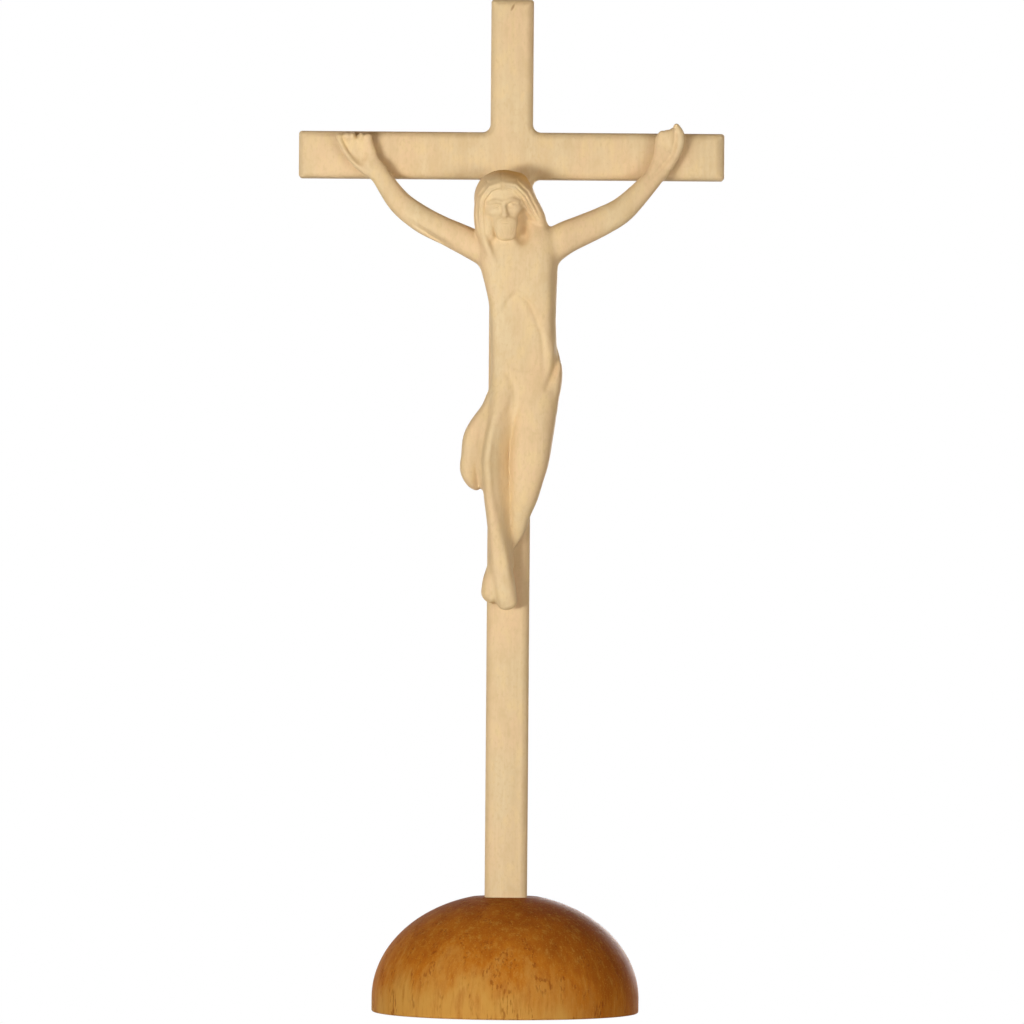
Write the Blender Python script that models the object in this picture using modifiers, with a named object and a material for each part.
"""Standing cross: a half-lapped maple cross with a carved figure, on a turned hardwood base.

Metres, +Z up. The origin is on the floor under the post, and the figure faces -Y.
Run with: blender --background --python part.py
"""

import math

import bmesh
import bpy
from mathutils import Matrix, Vector

# Fits
GLUE_GAP = 0.0002  # between two glued faces
PEG_CLEARANCE = 0.0001  # all round a peg, pin or spigot in its hole
HOLE_END_GAP = 0.0003  # left for glue at the bottom of a blind hole

# Turned base
BASE_DIAMETER = 0.0396
BASE_RIM = 0.0021  # upright wall under the dome
DOME_RISE = 0.0155  # from the rim to where the dome would close
SEAT_DIAMETER = 0.0100  # flat on top that carries the post
FOOT_CHAMFER = 0.0004
BASE_STEPS = 64
DOME_POINTS = 13

# Cross
CROSS_TOP = 0.1500
POST_WIDTH = 0.0063
BAR_HEIGHT = 0.0069
BAR_LENGTH = 0.0630
BAR_CENTRE = 0.1269  # height of the crossbar's centre line
CROSS_THICKNESS = 0.0060
CORNER_FILLET = 0.0012
EDGE_ROUND = 0.0009  # round along the front and back edges
FILLET_POINTS = 5
LAP_MARGIN = 0.0003  # lap shoulder past the end of a fillet
LAP_SHARE = 0.5  # of the thickness that stays on the post

# Spigot under the post
SPIGOT_DIAMETER = 0.0044
SPIGOT_LENGTH = 0.0110
SPIGOT_ROOT = 0.0030  # run of the spigot's cylinder inside the post

# Pegs and pins
SHOULDER_PEG_DIAMETER = 0.0014
SHOULDER_PEG_LENGTH = 0.0050
BACK_PEG_DIAMETER = 0.0020
BACK_PEG_IN_POST = 0.0036
BACK_PEG_IN_FIGURE = 0.0030
BACK_PEG_DROP = 0.0255  # below the crossbar's centre line
PIN_DIAMETER = 0.0008
PIN_IN_CROSS = 0.0030
HAND_PIN_DEPTH = 0.0009
FOOT_PIN_DEPTH = 0.0022
PEG_SIDES = 16

# Figure. Its stations are millimetres from the crossing of the bars: right as seen
# from the front, out from the cross's front face, and up, then the form's width in
# the picture plane and its thickness from front to back.
FIGURE_UNIT = BAR_LENGTH / 63  # one millimetre on a bar of this length
CARVING_VOXEL = 0.00030
FINE_CARVING_VOXEL = 0.00022
BODY_FACES_KEPT = 0.100
ARM_FACES_KEPT = 0.090
RING_SIDES = 20
FLAT_SIDED = 4.4  # squareness of a section, where 2 is an ellipse
FIRM = 3.2
FULL = 2.5
ROUND = 2.2
SPAN_STEPS = 4
CAP_RINGS = 4

TORSO = [
    (2.2, 3.2, -37.0, 9.6, 6.4),
    (2.2, 3.2, -33.2, 10.2, 6.6),
    (2.3, 3.2, -30.8, 10.4, 6.4),
    (2.0, 3.1, -28.4, 9.9, 6.2),
    (1.85, 3.1, -24.9, 9.8, 6.2),
    (1.75, 3.3, -21.3, 10.1, 6.8),
    (1.5, 3.4, -18.3, 10.8, 7.2),
    (1.2, 3.5, -15.4, 11.6, 7.0),
    (1.0, 3.4, -12.8, 11.0, 6.0),
    (0.8, 3.2, -11.0, 8.0, 4.4),
]
NECK = [
    (0.9, 3.4, -13.5, 6.0, 5.4),
    (0.3, 4.2, -10.8, 4.8, 4.6),
    (-0.4, 5.0, -8.0, 4.6, 4.6),
]
HIP_ROLL = [
    (5.8, 2.6, -27.4, 1.2, 3.0),
    (6.5, 2.9, -29.6, 1.7, 4.4),
    (6.7, 3.2, -31.8, 2.1, 5.2),
    (6.5, 3.4, -34.2, 2.2, 5.4),
    (6.1, 3.5, -36.6, 1.8, 5.0),
    (5.7, 3.6, -38.8, 1.2, 4.0),
]
LEFT_LEG = [
    (3.9, 3.4, -33.4, 6.6, 6.6),
    (3.75, 4.1, -37.9, 6.4, 6.8),
    (3.35, 4.8, -41.5, 6.2, 6.4),
    (3.0, 5.2, -44.9, 5.8, 5.6),
    (2.65, 4.9, -47.5, 5.0, 5.0),
    (2.3, 4.2, -50.2, 4.1, 4.4),
    (1.8, 3.2, -52.9, 2.9, 3.6),
    (1.5, 2.3, -55.1, 2.1, 2.8),
    (1.05, 1.5, -56.8, 1.1, 1.8),
    (0.3, 1.1, -58.0, 1.2, 1.6),
    (-0.9, 1.3, -59.4, 1.8, 1.9),
    (-1.5, 1.8, -61.1, 2.4, 2.4),
    (-2.1, 2.1, -63.0, 3.2, 3.3),
    (-2.6, 2.2, -64.6, 2.8, 3.0),
]
RIGHT_LEG = [
    (-0.4, 3.4, -33.9, 5.4, 6.4),
    (-1.7, 4.2, -37.9, 3.4, 6.4),
    (-2.7, 5.0, -41.4, 1.9, 6.2),
    (-3.2, 5.6, -44.9, 1.7, 5.7),
    (-3.1, 5.5, -47.4, 1.7, 5.2),
    (-2.8, 5.0, -50.4, 1.8, 4.6),
    (-2.3, 4.4, -53.4, 2.0, 4.0),
    (-1.8, 3.9, -56.4, 2.3, 3.4),
    (-1.35, 3.5, -59.4, 2.7, 3.0),
    (-0.95, 3.3, -61.9, 3.0, 3.0),
    (-0.5, 3.2, -64.4, 3.2, 3.0),
    (-0.15, 3.1, -66.0, 3.0, 2.4),
]
CLOTH_BETWEEN = [
    (0.8, 3.1, -34.0, 5.0, 6.8),
    (0.6, 3.0, -37.5, 4.8, 6.6),
    (0.3, 2.4, -40.5, 4.4, 5.2),
    (0.0, 1.9, -45.9, 3.8, 3.8),
    (0.0, 1.4, -50.9, 3.0, 2.8),
    (0.2, 0.8, -55.9, 2.0, 1.6),
]
# The small leg's inner flank. Its sixth value turns the section about its path, in degrees.
LEG_WALL = [
    (0.01, 4.17, -36.2, 2.4, 1.86, 72),
    (-0.45, 5.26, -38, 2.4, 2.41, 60),
    (-1.03, 5.71, -40, 2.4, 3.3, 49),
    (-1.63, 5.8, -42.2, 2.4, 4.36, 44),
    (-1.87, 5.77, -44.7, 2.4, 4.93, 42),
    (-1.83, 5.59, -46.8, 2.4, 4.83, 41),
    (-1.6, 5.01, -49.2, 2.4, 4.45, 39),
    (-1.36, 4.11, -52.1, 2.4, 4.38, 34),
    (-1.13, 3.21, -55.1, 2.4, 4.37, 26),
    (-0.85, 2.52, -58.1, 2.4, 4.68, 16),
    (-0.53, 2.41, -60.5, 2.4, 4.59, 11),
]
LEG_BED = [
    (-1.6, 3.0, -36.5, 4.0, 5.0),
    (-2.4, 2.8, -41.4, 4.0, 4.6),
    (-2.6, 2.4, -44.9, 3.6, 4.4),
    (-2.5, 2.2, -47.4, 3.3, 4.0),
    (-2.2, 1.9, -50.4, 3.0, 3.6),
    (-1.8, 1.6, -53.4, 2.6, 3.0),
    (-1.6, 1.4, -56.4, 2.4, 2.6),
]
CLOTH_WEB = [
    (-2.0, 3.4, -37.2, 2.2, 5.6),
    (-3.3, 3.4, -39.8, 2.8, 6.4),
    (-3.9, 3.2, -43.0, 2.6, 6.6),
    (-4.0, 3.0, -46.0, 2.4, 6.0),
    (-3.8, 2.9, -47.9, 1.8, 4.8),
    (-3.6, 2.8, -49.0, 1.0, 3.4),
]
FEET = [
    (-1.8, 2.0, -57.2, 2.0, 3.0),
    (-1.6, 2.2, -60.2, 2.8, 3.4),
    (-1.3, 2.3, -62.6, 4.0, 3.6),
    (-1.2, 2.3, -64.9, 4.0, 3.4),
]
CLOTH_TAIL = [
    (-1.9, 3.2, -34.6, 2.2, 5.0),
    (-3.0, 3.3, -37.6, 2.6, 5.0),
    (-4.5, 3.4, -40.0, 3.2, 4.8),
    (-5.2, 3.4, -42.0, 3.7, 4.4),
    (-5.4, 3.4, -44.6, 3.6, 4.0),
    (-5.45, 3.3, -46.2, 3.6, 3.6),
    (-5.1, 3.2, -47.5, 2.7, 3.0),
    (-4.7, 3.1, -48.5, 1.5, 2.2),
]
RIGHT_ARM = [
    (-1.5, 3.4, -15.3, 4.9, 4.6),
    (-4.8, 3.5, -13.7, 4.5, 4.4),
    (-7.5, 3.4, -12.4, 4.2, 4.0),
    (-10.4, 3.1, -11.1, 4.0, 3.6),
    (-13.4, 2.8, -9.5, 3.9, 3.4),
    (-16.4, 2.4, -7.2, 3.5, 3.1),
    (-18.8, 1.9, -4.0, 2.9, 2.6),
    (-19.9, 1.6, -2.2, 2.6, 2.3),
]
LEFT_ARM = [
    (3.2, 3.4, -15.5, 5.5, 4.6),
    (5.6, 3.5, -13.8, 5.1, 4.6),
    (7.9, 3.5, -12.3, 4.8, 4.4),
    (10.5, 3.2, -11.1, 4.5, 3.9),
    (13.5, 2.9, -9.7, 4.2, 3.5),
    (16.4, 2.5, -8.0, 3.8, 3.3),
    (19.5, 2.0, -4.9, 3.1, 2.8),
    (21.7, 1.6, -2.3, 2.7, 2.4),
]
RIGHT_PALM = [
    (-19.6, 1.5, -2.9, 2.5, 2.2),
    (-21.2, 1.4, -1.4, 3.4, 2.1),
    (-22.3, 1.2, 0.4, 4.2, 1.9),
    (-22.9, 1.0, 1.6, 4.4, 1.7),
    (-22.8, 1.2, 2.4, 4.3, 1.7),
]
LEFT_PALM = [
    (21.5, 1.5, -2.4, 2.8, 2.2),
    (22.6, 1.4, -0.4, 3.5, 2.1),
    (23.15, 1.2, 1.3, 4.2, 1.9),
    (23.2, 1.2, 2.5, 3.9, 1.8),
]
# Thumb and fingers, from root to tip
RIGHT_FINGERS = [
    [(-20.6, 1.6, -3.0, 0.8, 1.2), (-23.0, 1.6, -1.4, 1.0, 1.3), (-24.7, 1.6, 0.6, 1.0, 1.3),
     (-25.5, 1.5, 2.5, 1.0, 1.2)],
    [(-24.2, 1.2, 1.4, 1.4, 1.4), (-24.3, 1.6, 2.2, 1.4, 1.3), (-24.3, 2.0, 2.55, 1.2, 1.1)],
    [(-23.4, 1.2, 1.4, 1.3, 1.4), (-23.5, 1.6, 2.2, 1.2, 1.3), (-23.5, 2.0, 2.55, 1.1, 1.1)],
    [(-22.2, 1.2, 1.4, 1.4, 1.4), (-22.3, 1.6, 2.2, 1.3, 1.3), (-22.2, 2.0, 2.55, 1.1, 1.1)],
    [(-19.0, 1.7, -3.0, 1.0, 1.3), (-20.4, 1.5, -0.6, 1.3, 1.5), (-21.1, 1.5, 1.2, 1.4, 1.5),
     (-21.3, 1.7, 2.4, 1.3, 1.3)],
]
LEFT_FINGERS = [
    [(22.3, 1.2, 1.6, 1.6, 1.3), (22.2, 1.5, 2.7, 1.5, 1.3), (22.3, 1.8, 3.2, 1.3, 1.1)],
    [(22.9, 1.2, 1.9, 1.5, 1.3), (22.9, 1.5, 2.8, 1.5, 1.3), (23.0, 1.8, 3.3, 1.3, 1.1)],
    [(23.6, 1.3, 2.1, 1.6, 1.4), (23.8, 1.6, 3.1, 1.5, 1.3), (23.8, 1.8, 3.6, 1.4, 1.1)],
    [(22.4, 1.7, -2.3, 1.1, 1.3), (23.9, 1.7, -0.2, 1.4, 1.6), (24.7, 1.6, 1.8, 1.6, 1.7),
     (24.75, 1.6, 3.2, 1.5, 1.5), (24.3, 1.6, 4.35, 1.0, 1.1)],
]

# Head, in millimetres from its own centre, before it is bowed and tilted
HEAD_PLACE = (-1.15, 5.9, -6.9)
HEAD_BOW = math.radians(18)
HEAD_TILT = math.radians(-5)
HEAD_SIZE = 0.88  # of the sizes below
SKULL = ((0.0, -0.4, 0.8), (6.6, 8.0, 7.6))
HAIR_CAP = ((0.0, -0.8, 0.6), (9.6, 8.6, 9.3))
FACE_FORM = [
    (0.0, 1.2, 2.6, 5.2, 4.5),
    (0.0, 1.3, 0.6, 5.7, 4.9),
    (0.0, 1.4, -1.4, 5.1, 4.8),
    (0.0, 1.5, -3.2, 3.9, 4.4),
    (0.0, 1.6, -4.3, 2.6, 3.6),
]
NOSE = [
    (0.0, 3.45, 0.8, 0.7, 0.8),
    (0.0, 3.9, -0.4, 0.75, 1.1),
    (0.0, 4.2, -1.3, 1.05, 1.2),
]
BROWS = [
    [(s * 2.4, 2.95, 0.6, 0.6, 0.8), (s * 1.4, 3.5, 1.0, 0.7, 0.9), (s * 0.4, 3.65, 0.8, 0.6, 0.8)]
    for s in (-1, 1)
]
MOUSTACHE = [
    [(s * 0.2, 3.85, -1.95, 0.6, 0.8), (s * 1.1, 3.5, -2.35, 0.7, 0.9), (s * 1.7, 3.0, -3.3, 0.6, 0.9)]
    for s in (-1, 1)
]
BEARD = [
    (0.0, 2.3, -3.0, 4.2, 3.4),
    (0.0, 2.6, -4.0, 3.5, 3.2),
    (0.0, 2.6, -4.9, 2.8, 2.4),
]
LEFT_HAIR = [
    (1.0, 5.0, -4.2, 2.8, 5.8),
    (2.1, 4.9, -5.9, 2.6, 5.2),
    (2.9, 4.6, -7.5, 2.4, 4.6),
    (3.7, 4.1, -9.0, 2.2, 4.0),
    (4.5, 3.5, -10.4, 1.8, 3.4),
    (5.1, 3.0, -11.6, 1.2, 2.4),
]
RIGHT_HAIR = [
    (-3.4, 5.0, -4.6, 2.4, 5.6),
    (-4.1, 5.1, -6.8, 2.3, 5.2),
    (-4.25, 5.2, -9.0, 2.2, 4.8),
    (-4.1, 5.3, -11.0, 2.1, 4.2),
    (-3.8, 5.4, -12.8, 1.8, 3.8),
    (-3.1, 5.9, -14.3, 1.4, 2.8),
    (-2.5, 6.2, -15.3, 0.8, 1.6),
]
TEMPLE_HAIR = [
    [(-0.2, 2.6, 4.2, 1.8, 2.0), (-2.1, 2.3, 3.3, 2.2, 2.6), (-3.5, 1.9, 1.0, 2.2, 3.2),
     (-3.9, 1.5, -1.6, 2.2, 3.2), (-3.9, 1.0, -4.4, 2.2, 3.0)],
    [(0.2, 2.6, 4.2, 1.8, 2.0), (2.1, 2.3, 3.3, 2.2, 2.6), (3.5, 1.8, 1.2, 2.3, 3.2),
     (4.5, 1.0, -1.2, 2.3, 3.0), (5.3, 0.0, -3.4, 2.0, 2.8)],
]
NAPE_HAIR = [
    [(-2.2, 0.2, 1.0, 3.4, 4.0), (-2.6, 0.2, -2.0, 3.4, 4.0), (-2.8, -0.2, -5.0, 3.2, 3.6)],
    [(2.2, 0.0, 1.0, 3.4, 3.6), (2.4, -1.0, -2.0, 3.4, 3.4), (2.5, -2.2, -5.0, 3.2, 3.0)],
]

# Where the arms are cut off and pegged back on, on the arms' own centre lines
RIGHT_SEAM = (-6.6, 3.4, -12.55)
LEFT_SEAM = (8.4, 3.45, -11.8)
STUB_STATIONS = 5  # of an arm's stations that run on from the shoulder past its seam
RIGHT_HAND_PIN = (-21.9, 0.0, 0.7)
LEFT_HAND_PIN = (23.1, 0.0, 1.0)
FOOT_PIN = (-0.35, 0.0, -64.0)

# Trimming blocks at the shoulders, only large enough to clear what they cut away
TRIM_LENGTH = 0.012
TRIM_DEPTH = 0.0080
BODY_TRIM_HEIGHT = 0.0064  # kept low, to miss the hair
ARM_TRIM_HEIGHT = 0.0120

SEAT_HEIGHT = BASE_RIM + DOME_RISE * math.sqrt(1 - (SEAT_DIAMETER / BASE_DIAMETER) ** 2)
FRONT = -CROSS_THICKNESS / 2
LAP_FACE = FRONT + CROSS_THICKNESS * LAP_SHARE
LAP_HALF_WIDTH = POST_WIDTH / 2 + CORNER_FILLET + LAP_MARGIN
LAP_HALF_HEIGHT = BAR_HEIGHT / 2 + CORNER_FILLET + LAP_MARGIN
FIGURE_BACK = FRONT - GLUE_GAP


def clear_scene():
    for found in list(bpy.data.objects):
        bpy.data.objects.remove(found)


def new_collection(name):
    made = bpy.data.collections.new(name)
    bpy.context.scene.collection.children.link(made)
    return made


def material(name, colour, roughness, metallic=0.0):
    made = bpy.data.materials.new(name)
    made.use_nodes = True
    shader = made.node_tree.nodes["Principled BSDF"]
    shader.inputs["Base Color"].default_value = (*colour, 1.0)
    shader.inputs["Roughness"].default_value = roughness
    shader.inputs["Metallic"].default_value = metallic
    return made


def object_of(name, body, collection, finish=None):
    """An object made from a bmesh or a mesh."""
    if isinstance(body, bmesh.types.BMesh):
        mesh = bpy.data.meshes.new(name)
        body.to_mesh(mesh)
        body.free()
    else:
        mesh = body
    made = bpy.data.objects.new(name, mesh)
    collection.objects.link(made)
    if finish:
        mesh.materials.append(finish)
    return made


def box(name, low, high, place=Matrix.Identity(4)):
    """A cutting block between two corners, hidden from the model."""
    body = bmesh.new()
    bmesh.ops.create_cube(body, size=1.0)
    size = Vector(high) - Vector(low)
    middle = (Vector(high) + Vector(low)) / 2
    bmesh.ops.transform(body, matrix=place @ Matrix.Translation(middle) @ Matrix.Diagonal(size).to_4x4(),
                        verts=body.verts)
    return helper(object_of(name, body, cutters))


def rod(name, diameter, start, end, collection, finish=None):
    """A straight round rod between two points."""
    start, end = Vector(start), Vector(end)
    body = bmesh.new()
    bmesh.ops.create_cone(body, cap_ends=True, segments=PEG_SIDES, radius1=diameter / 2,
                          radius2=diameter / 2, depth=(end - start).length)
    turn = (end - start).to_track_quat("Z", "Y").to_matrix().to_4x4()
    bmesh.ops.transform(body, matrix=Matrix.Translation((start + end) / 2) @ turn, verts=body.verts)
    made = object_of(name, body, collection, finish)
    made.data.shade_smooth()
    made.data.set_sharp_from_angle(angle=math.radians(40))
    return made


def helper(made):
    made.hide_render = True
    made.display_type = "WIRE"
    return made


def cut(made, *tools):
    for tool in tools:
        modifier = made.modifiers.new("cut " + tool.name, "BOOLEAN")
        modifier.operation = "DIFFERENCE"
        modifier.object = tool


def join(made, tool):
    modifier = made.modifiers.new("join " + tool.name, "BOOLEAN")
    modifier.operation = "UNION"
    modifier.object = tool


def blind_hole(name, peg_diameter, mouth, end):
    """A cutter for a peg's hole. It starts outside the wall and runs past the peg's end."""
    mouth, end = Vector(mouth), Vector(end)
    along = (end - mouth).normalized()
    return helper(rod(name, peg_diameter + 2 * PEG_CLEARANCE, mouth - along * PEG_CLEARANCE * 4,
                      end + along * HOLE_END_GAP, cutters))


# Turned base


def base_profile():
    """Half of the base's section, from the bottom of the socket round to the centre of the foot."""
    radius = BASE_DIAMETER / 2
    socket_radius = SPIGOT_DIAMETER / 2 + PEG_CLEARANCE
    socket_floor = SEAT_HEIGHT - SPIGOT_LENGTH - HOLE_END_GAP
    points = [(0.0, socket_floor), (socket_radius, socket_floor), (socket_radius, SEAT_HEIGHT)]
    first = math.acos((SEAT_DIAMETER / 2) / radius)
    for i in range(DOME_POINTS):
        angle = first * (1 - i / (DOME_POINTS - 1))
        points.append((radius * math.cos(angle), BASE_RIM + DOME_RISE * math.sin(angle)))
    points += [(radius, FOOT_CHAMFER), (radius - FOOT_CHAMFER, 0.0), (0.0, 0.0)]
    return points


def make_base():
    body = bmesh.new()
    ring = [body.verts.new((x, 0.0, z)) for x, z in base_profile()]
    for a, b in zip(ring, ring[1:]):
        body.edges.new((a, b))
    made = object_of("base", body, parts, stained_hardwood)
    turn = made.modifiers.new("turn", "SCREW")
    turn.steps = BASE_STEPS
    turn.render_steps = BASE_STEPS
    turn.use_merge_vertices = True
    turn.merge_threshold = 0.00001
    return made


# Cross


def corner_fillet(x, z, start):
    """The points of one inner corner's fillet, round a centre at x, z."""
    found = []
    for i in range(FILLET_POINTS):
        angle = start - math.pi / 2 * i / (FILLET_POINTS - 1)
        found.append((x + CORNER_FILLET * math.cos(angle), z + CORNER_FILLET * math.sin(angle)))
    return found


def cross_outline():
    """The front outline of the whole cross, anticlockwise, with filleted inner corners."""
    arm, post = BAR_LENGTH / 2, POST_WIDTH / 2
    low, high = BAR_CENTRE - BAR_HEIGHT / 2, BAR_CENTRE + BAR_HEIGHT / 2
    foot = SEAT_HEIGHT + GLUE_GAP
    reach = post + CORNER_FILLET
    right = [(post, foot)]
    right += corner_fillet(reach, low - CORNER_FILLET, math.pi)
    right += [(arm, low), (arm, high)]
    right += corner_fillet(reach, high + CORNER_FILLET, 3 * math.pi / 2)
    right += [(post, CROSS_TOP)]
    return right + [(-x, z) for x, z in reversed(right)]


def cross_blank(name, finish):
    """The glued and routed cross, before the glue line is opened."""
    body = bmesh.new()
    face = body.faces.new([body.verts.new((x, FRONT, z)) for x, z in cross_outline()])
    walls = bmesh.ops.extrude_face_region(body, geom=[face])
    moved = [v for v in walls["geom"] if isinstance(v, bmesh.types.BMVert)]
    bmesh.ops.translate(body, vec=(0.0, CROSS_THICKNESS, 0.0), verts=moved)
    bmesh.ops.recalc_face_normals(body, faces=body.faces)
    foot = SEAT_HEIGHT + GLUE_GAP
    layer = body.edges.layers.float.new("bevel_weight_edge")
    for edge in body.edges:
        at_foot = all(abs(v.co.z - foot) < EDGE_ROUND / 10 for v in edge.verts)
        through = abs(edge.verts[0].co.y - edge.verts[1].co.y) > CROSS_THICKNESS / 2
        if edge.calc_face_angle(0.0) > math.radians(50) and not at_foot and not through:
            edge[layer] = 1.0
    made = object_of(name, body, parts, finish)
    rounding = made.modifiers.new("eased edges", "BEVEL")
    rounding.width = EDGE_ROUND
    rounding.segments = 3
    rounding.limit_method = "WEIGHT"
    return made


def make_post():
    made = cross_blank("post", maple)
    side, top = BAR_LENGTH, CROSS_TOP * 2
    bottom, height = BAR_CENTRE - LAP_HALF_HEIGHT, BAR_CENTRE + LAP_HALF_HEIGHT
    cut(
        made,
        box("right of the post", (LAP_HALF_WIDTH, -side, 0), (side, side, top)),
        box("left of the post", (-side, -side, 0), (-LAP_HALF_WIDTH, side, top)),
        box("lap in the post", (-side, LAP_FACE, bottom), (side, side, height)),
    )
    shoulder = SEAT_HEIGHT + GLUE_GAP
    join(made, helper(rod("spigot", SPIGOT_DIAMETER, (0, 0, SEAT_HEIGHT - SPIGOT_LENGTH),
                          (0, 0, shoulder + SPIGOT_ROOT), cutters)))
    return made


def make_crossbar():
    made = cross_blank("crossbar", maple)
    side, top = BAR_LENGTH, CROSS_TOP * 2
    half = LAP_HALF_WIDTH + GLUE_GAP
    bottom = BAR_CENTRE - LAP_HALF_HEIGHT + GLUE_GAP
    height = BAR_CENTRE + LAP_HALF_HEIGHT - GLUE_GAP
    cut(
        made,
        box("above the bar", (-side, -side, height), (side, side, top)),
        box("below the bar", (-side, -side, -top), (side, side, bottom)),
        box("lap in the bar", (-half, -side, 0), (half, LAP_FACE + GLUE_GAP, top)),
    )
    return made


# Figure


def place_of(station):
    """A station's point in the world."""
    right, out, up = station[:3]
    return Vector((right * FIGURE_UNIT, FRONT - out * FIGURE_UNIT, BAR_CENTRE + up * FIGURE_UNIT))


def smooth_stations(stations):
    """Catmull-Rom values between the stations, SPAN_STEPS to each span."""
    ends = [stations[0], *stations, stations[-1]]
    found = []
    for a, b, c, d in zip(ends, ends[1:], ends[2:], ends[3:]):
        for i in range(SPAN_STEPS):
            t = i / SPAN_STEPS
            found.append([
                q + 0.5 * t * (r - p + t * (2 * p - 5 * q + 4 * r - s + t * (3 * (q - r) + s - p)))
                for p, q, r, s in zip(a, b, c, d)
            ])
    return found + [list(stations[-1])]


def carved_form(body, stations, squareness=FULL, frame=None):
    """Adds a loft through the stations to a bmesh, with rounded ends."""
    rows = smooth_stations(stations)
    centres = [Vector(row[:3]) for row in rows]
    rings = []
    for i, row in enumerate(rows):
        along = (centres[min(i + 1, len(rows) - 1)] - centres[max(i - 1, 0)]).normalized()
        wide = along.cross(Vector((0, 1, 0))).normalized()
        deep = wide.cross(along)
        if len(row) > 5:
            turn = Matrix.Rotation(-math.radians(row[5]), 3, along)
            wide, deep = turn @ wide, turn @ deep
        rings.append((centres[i], along, wide * row[3] / 2, deep * row[4] / 2))
    first, last = rings[0], rings[-1]
    rings = [*end_rings(first, -1), *rings, *reversed(end_rings(last, 1))]
    loops = []
    for centre, _, wide, deep in rings:
        loop = []
        for k in range(RING_SIDES):
            angle = 2 * math.pi * k / RING_SIDES
            c, s = math.cos(angle), math.sin(angle)
            across = math.copysign(abs(c) ** (2 / squareness), c)
            through = math.copysign(abs(s) ** (2 / squareness), s)
            loop.append(body.verts.new(to_world(centre + wide * across + deep * through, frame)))
        loops.append(loop)
    for a, b in zip(loops, loops[1:]):
        for k in range(RING_SIDES):
            n = (k + 1) % RING_SIDES
            body.faces.new((a[k], a[n], b[n], b[k]))
    body.faces.new(loops[0])
    body.faces.new(list(reversed(loops[-1])))


def end_rings(ring, sign):
    """Shrinking rings past an end, from the outermost inwards."""
    centre, along, wide, deep = ring
    reach = min(wide.length, deep.length)
    found = []
    for i in range(CAP_RINGS):
        angle = math.pi / 2 * (1 - (i + 0.35) / CAP_RINGS)
        found.append((centre + along * sign * reach * math.sin(angle), along,
                      wide * math.cos(angle), deep * math.cos(angle)))
    return found


def to_world(point, frame):
    """A figure point, or a head point when the head's frame is given, in the world."""
    return place_of(frame @ point if frame else point)


def ellipsoid(body, centre, size, frame=None):
    made = bmesh.ops.create_uvsphere(body, u_segments=24, v_segments=16, radius=0.5)
    for vert in made["verts"]:
        local = Vector(c + s * x for c, s, x in zip(centre, size, vert.co))
        vert.co = to_world(local, frame)


def head_frame():
    """The head's own axes. A bow carries the chin back to the chest, and a tilt leans the crown aside."""
    bow = Matrix.Rotation(-HEAD_BOW, 4, "X")
    tilt = Matrix.Rotation(HEAD_TILT, 4, "Y")
    return Matrix.Translation(HEAD_PLACE) @ tilt @ bow @ Matrix.Scale(HEAD_SIZE, 4)


def carve(name, body, voxel, kept, finish):
    """Fuses overlapping forms into one skin, as if cut from one block, and thins its facets."""
    bmesh.ops.recalc_face_normals(body, faces=body.faces)
    made = object_of(name, body, parts, finish)
    fuse = made.modifiers.new("one block", "REMESH")
    fuse.mode = "VOXEL"
    fuse.voxel_size = voxel
    soften = made.modifiers.new("knife and paper", "SMOOTH")
    soften.factor = 0.5
    soften.iterations = 3
    thin = made.modifiers.new("facets", "DECIMATE")
    thin.ratio = kept
    return made


def flat_back(name):
    """What lies behind the figure's glued face."""
    return box(name, (-BAR_LENGTH, FIGURE_BACK, 0), (BAR_LENGTH, CROSS_THICKNESS * 4, CROSS_TOP * 2))


def seam_frame(seam, arm):
    """A frame at an arm's joint, with X along the arm, away from the body."""
    place = place_of(seam)
    near = sorted(arm, key=lambda station: (place_of(station) - place).length)[:2]
    a, b = sorted(near, key=lambda station: arm.index(station))
    along = (place_of(b) - place_of(a)).normalized()
    deep = Vector((0, 1, 0))
    up = along.cross(deep).normalized()
    deep = up.cross(along)
    turn = Matrix((along, deep, up)).transposed().to_4x4()
    return Matrix.Translation(place) @ turn


def shoulder_trim(name, seam, arm, start, end, height):
    """A block across an arm's joint that runs from start to end along the arm."""
    deep, half = TRIM_DEPTH / 2, height / 2
    return box(name, (start, -deep, -half), (end, deep, half), seam_frame(seam, arm))


def beyond_seam(name, seam, arm):
    return shoulder_trim(name, seam, arm, -GLUE_GAP / 2, TRIM_LENGTH, BODY_TRIM_HEIGHT)


def before_seam(name, seam, arm):
    return shoulder_trim(name, seam, arm, -TRIM_LENGTH, GLUE_GAP / 2, ARM_TRIM_HEIGHT)


def shoulder_peg(name, seam, arm):
    """The peg that holds an arm, and the cutter for its two holes."""
    frame = seam_frame(seam, arm)
    half = SHOULDER_PEG_LENGTH / 2
    ends = [frame @ Vector((-half, 0, 0)), frame @ Vector((half, 0, 0))]
    rod(name, SHOULDER_PEG_DIAMETER, *ends, parts, beech)
    longer = half + HOLE_END_GAP
    hole = [frame @ Vector((-longer, 0, 0)), frame @ Vector((longer, 0, 0))]
    return helper(rod(name + " holes", SHOULDER_PEG_DIAMETER + 2 * PEG_CLEARANCE, *hole, cutters))


def cross_pin(name, place, diameter, in_figure, in_cross, finish):
    """A pin or peg from the cross into the figure's back, and the cutters for both holes."""
    at = place_of(place)
    face = Vector((at.x, FRONT, at.z))
    tip = face - Vector((0, GLUE_GAP + in_figure, 0))
    tail = face + Vector((0, in_cross, 0))
    rod(name, diameter, tip, tail, parts, finish)
    seam = face - Vector((0, GLUE_GAP / 2, 0))
    return (blind_hole(name + " hole, figure", diameter, seam, tip),
            blind_hole(name + " hole, cross", diameter, seam, tail))


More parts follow.
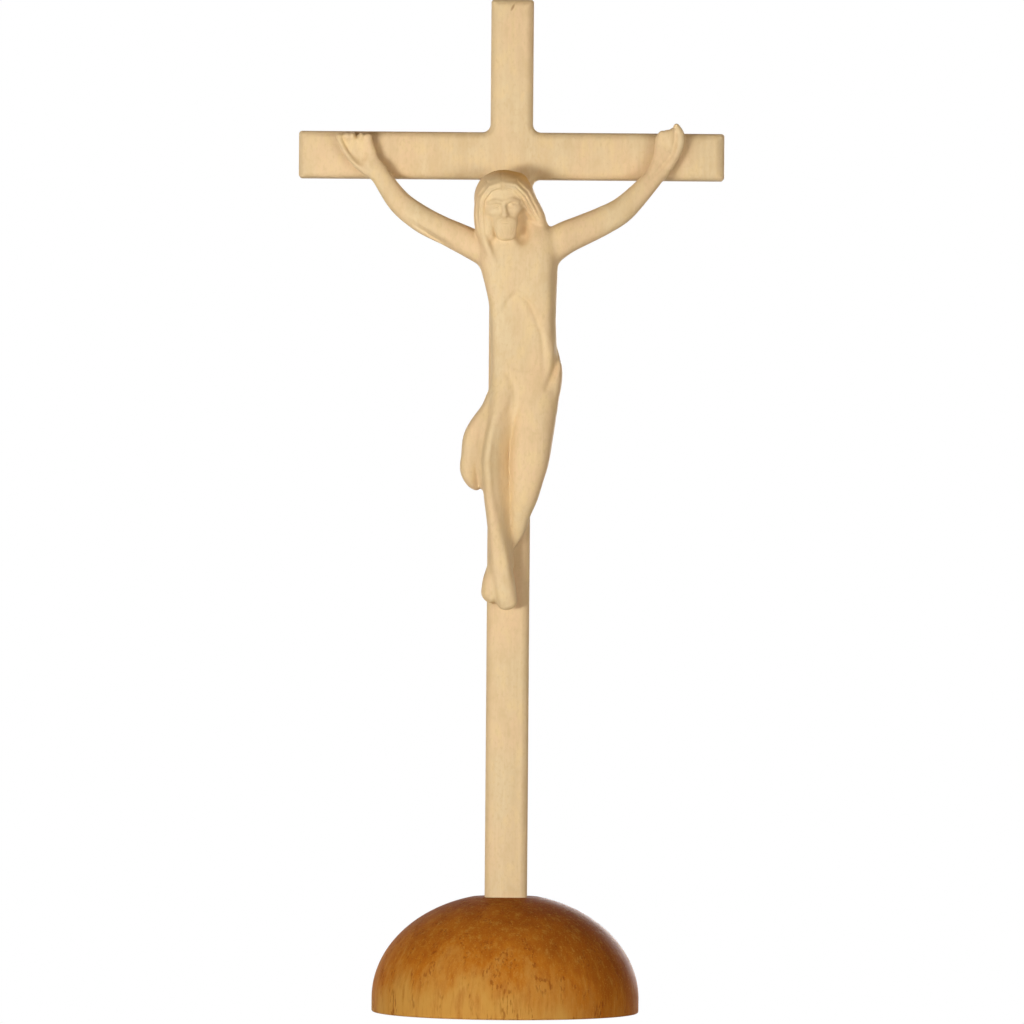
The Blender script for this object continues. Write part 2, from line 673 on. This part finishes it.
def make_head(body):
    frame = head_frame()
    ellipsoid(body, *SKULL, frame)
    ellipsoid(body, *HAIR_CAP, frame)
    for form in (*TEMPLE_HAIR, *NAPE_HAIR, *BROWS, *MOUSTACHE, NOSE):
        carved_form(body, form, ROUND, frame)
    for form in (FACE_FORM, BEARD):
        carved_form(body, form, FULL, frame)
    for form in (LEFT_HAIR, RIGHT_HAIR):
        carved_form(body, form, ROUND)


def make_body():
    body = bmesh.new()
    carved_form(body, TORSO, FLAT_SIDED)
    for form in (LEFT_LEG, LEG_WALL):
        carved_form(body, form, FIRM)
    for form in (HIP_ROLL, RIGHT_LEG, CLOTH_BETWEEN, LEG_BED, CLOTH_WEB, CLOTH_TAIL, FEET):
        carved_form(body, form, FULL)
    for form in (NECK, RIGHT_ARM[:STUB_STATIONS], LEFT_ARM[:STUB_STATIONS]):
        carved_form(body, form, ROUND)
    make_head(body)
    return carve("corpus", body, CARVING_VOXEL, BODY_FACES_KEPT, maple)


def make_arm(name, arm, palm, fingers):
    body = bmesh.new()
    carved_form(body, arm, ROUND)
    carved_form(body, palm, FULL)
    for finger in fingers:
        carved_form(body, finger, ROUND)
    return carve(name, body, FINE_CARVING_VOXEL, ARM_FACES_KEPT, maple)


clear_scene()
parts = new_collection("standing cross")
cutters = new_collection("cutters")
maple = material("maple, waxed", (0.80, 0.58, 0.33), 0.55)
stained_hardwood = material("hardwood, stained and lacquered", (0.38, 0.14, 0.02), 0.38)
beech = material("beech dowel", (0.62, 0.42, 0.24), 0.6)
brass = material("brass wire", (0.78, 0.57, 0.22), 0.35, 1.0)

base = make_base()
post = make_post()
crossbar = make_crossbar()
corpus = make_body()
arm_right = make_arm("arm_right", RIGHT_ARM, RIGHT_PALM, RIGHT_FINGERS)
arm_left = make_arm("arm_left", LEFT_ARM, LEFT_PALM, LEFT_FINGERS)

back = flat_back("behind the figure")
cut(corpus, back, beyond_seam("past the right shoulder", RIGHT_SEAM, RIGHT_ARM),
    beyond_seam("past the left shoulder", LEFT_SEAM, LEFT_ARM))
cut(arm_right, back, before_seam("inside the right shoulder", RIGHT_SEAM, RIGHT_ARM))
cut(arm_left, back, before_seam("inside the left shoulder", LEFT_SEAM, LEFT_ARM))

right_peg_holes = shoulder_peg("shoulder_peg_right", RIGHT_SEAM, RIGHT_ARM)
left_peg_holes = shoulder_peg("shoulder_peg_left", LEFT_SEAM, LEFT_ARM)
cut(corpus, right_peg_holes, left_peg_holes)
cut(arm_right, right_peg_holes)
cut(arm_left, left_peg_holes)

for name, place, diameter, deep, behind, finish, carved, carrier in (
    ("back_peg", (0.0, 0.0, -BACK_PEG_DROP / FIGURE_UNIT), BACK_PEG_DIAMETER,
     BACK_PEG_IN_FIGURE, BACK_PEG_IN_POST, beech, corpus, post),
    ("hand_pin_right", RIGHT_HAND_PIN, PIN_DIAMETER, HAND_PIN_DEPTH, PIN_IN_CROSS,
     brass, arm_right, crossbar),
    ("hand_pin_left", LEFT_HAND_PIN, PIN_DIAMETER, HAND_PIN_DEPTH, PIN_IN_CROSS, brass, arm_left, crossbar),
    ("foot_pin", FOOT_PIN, PIN_DIAMETER, FOOT_PIN_DEPTH, PIN_IN_CROSS, brass, corpus, post),
):
    in_figure, in_cross = cross_pin(name, place, diameter, deep, behind, finish)
    cut(carved, in_figure)
    cut(carrier, in_cross)
